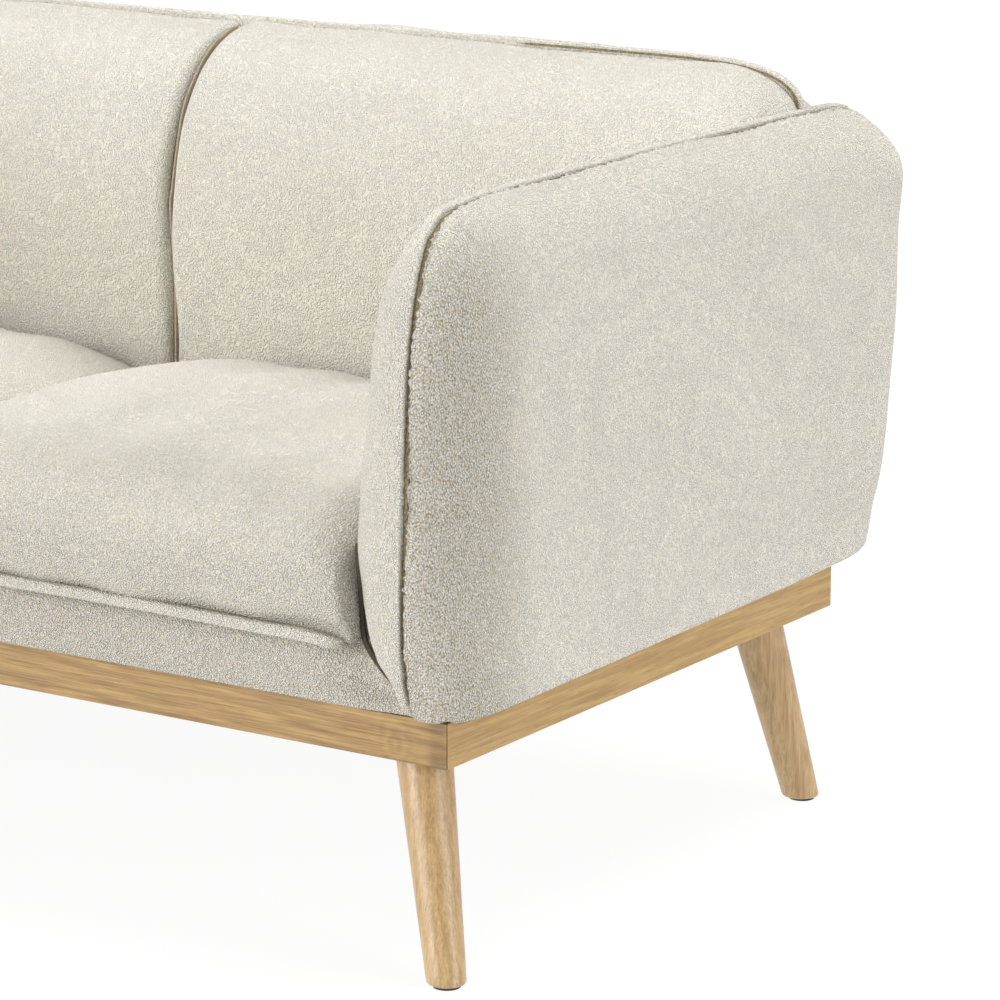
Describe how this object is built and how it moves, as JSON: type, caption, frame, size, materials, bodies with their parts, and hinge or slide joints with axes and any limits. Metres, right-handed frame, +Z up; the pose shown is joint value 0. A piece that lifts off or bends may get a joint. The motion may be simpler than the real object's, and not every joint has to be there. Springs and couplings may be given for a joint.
{
  "type": "sofa",
  "caption": "Upholstered loveseat sofa with tight back and seat cushions and rounded padded arms, on a wooden plinth with splayed tapered round legs.",
  "frame": {"origin": "on the floor, under the middle of the overall bounding box", "axes": "+Z up; the sofa faces -Y; +X runs along its length, to the right of a person who looks at its front"},
  "size_m": [1.5124, 0.8981, 0.7725],
  "materials": {
    "plinth_wood": "satin",
    "leg_wood": "satin",
    "frame_wood": "matte",
    "fibreboard": "matte",
    "foam": "matte",
    "cover_fabric": "matte",
    "steel": "satin",
    "nylon": "matte",
    "dust_cloth": "matte",
    "webbing": "matte"
  },
  "bodies": {
    "root": {"plinth_front_rail": "plinth_wood", "plinth_rear_rail": "plinth_wood", "plinth_left_rail": "plinth_wood", "plinth_right_rail": "plinth_wood", "leg_front_left": "leg_wood", "leg_front_right": "leg_wood", "leg_rear_left": "leg_wood", "leg_rear_right": "leg_wood", "plinth_cross_rails": "frame_wood", "leg_blocks": "frame_wood", "base_front_rail": "frame_wood", "base_rear_rail": "frame_wood", "base_left_rail": "frame_wood", "base_right_rail": "frame_wood", "base_centre_rail": "frame_wood", "arm_front_post_left": "frame_wood", "arm_front_post_right": "frame_wood", "arm_top_rail_left": "frame_wood", "arm_top_rail_right": "frame_wood", "back_posts": "frame_wood", "back_top_rail": "frame_wood", "arm_inner_board_left": "fibreboard", "arm_inner_board_right": "fibreboard", "arm_outer_board_left": "fibreboard", "arm_outer_board_right": "fibreboard", "arm_inner_foam_left": "foam", "arm_inner_foam_right": "foam", "arm_outer_foam_left": "foam", "arm_outer_foam_right": "foam", "back_foam_left": "foam", "back_foam_right": "foam", "rear_foam": "foam", "seat_foam_left": "foam", "seat_foam_right": "foam", "arm_inner_cover_left": "cover_fabric", "arm_inner_cover_right": "cover_fabric", "arm_outer_cover_left": "cover_fabric", "arm_outer_cover_right": "cover_fabric", "arm_seam_left": "cover_fabric", "arm_seam_right": "cover_fabric", "back_cover_left": "cover_fabric", "back_cover_right": "cover_fabric", "back_seam_left": "cover_fabric", "back_seam_right": "cover_fabric", "rear_cover": "cover_fabric", "seat_cover_left": "cover_fabric", "seat_cover_right": "cover_fabric", "seat_seams": "cover_fabric", "front_border": "cover_fabric", "leg_plates": "steel", "leg_plate_screws": "steel", "hanger_bolts": "steel", "arm_bolts": "steel", "arm_bolt_nuts": "steel", "back_brackets": "steel", "seat_springs": "steel", "foot_glides": "nylon", "spring_clips": "nylon", "dust_cover": "dust_cloth", "back_webbing": "webbing"}
  },
  "joints": []
}
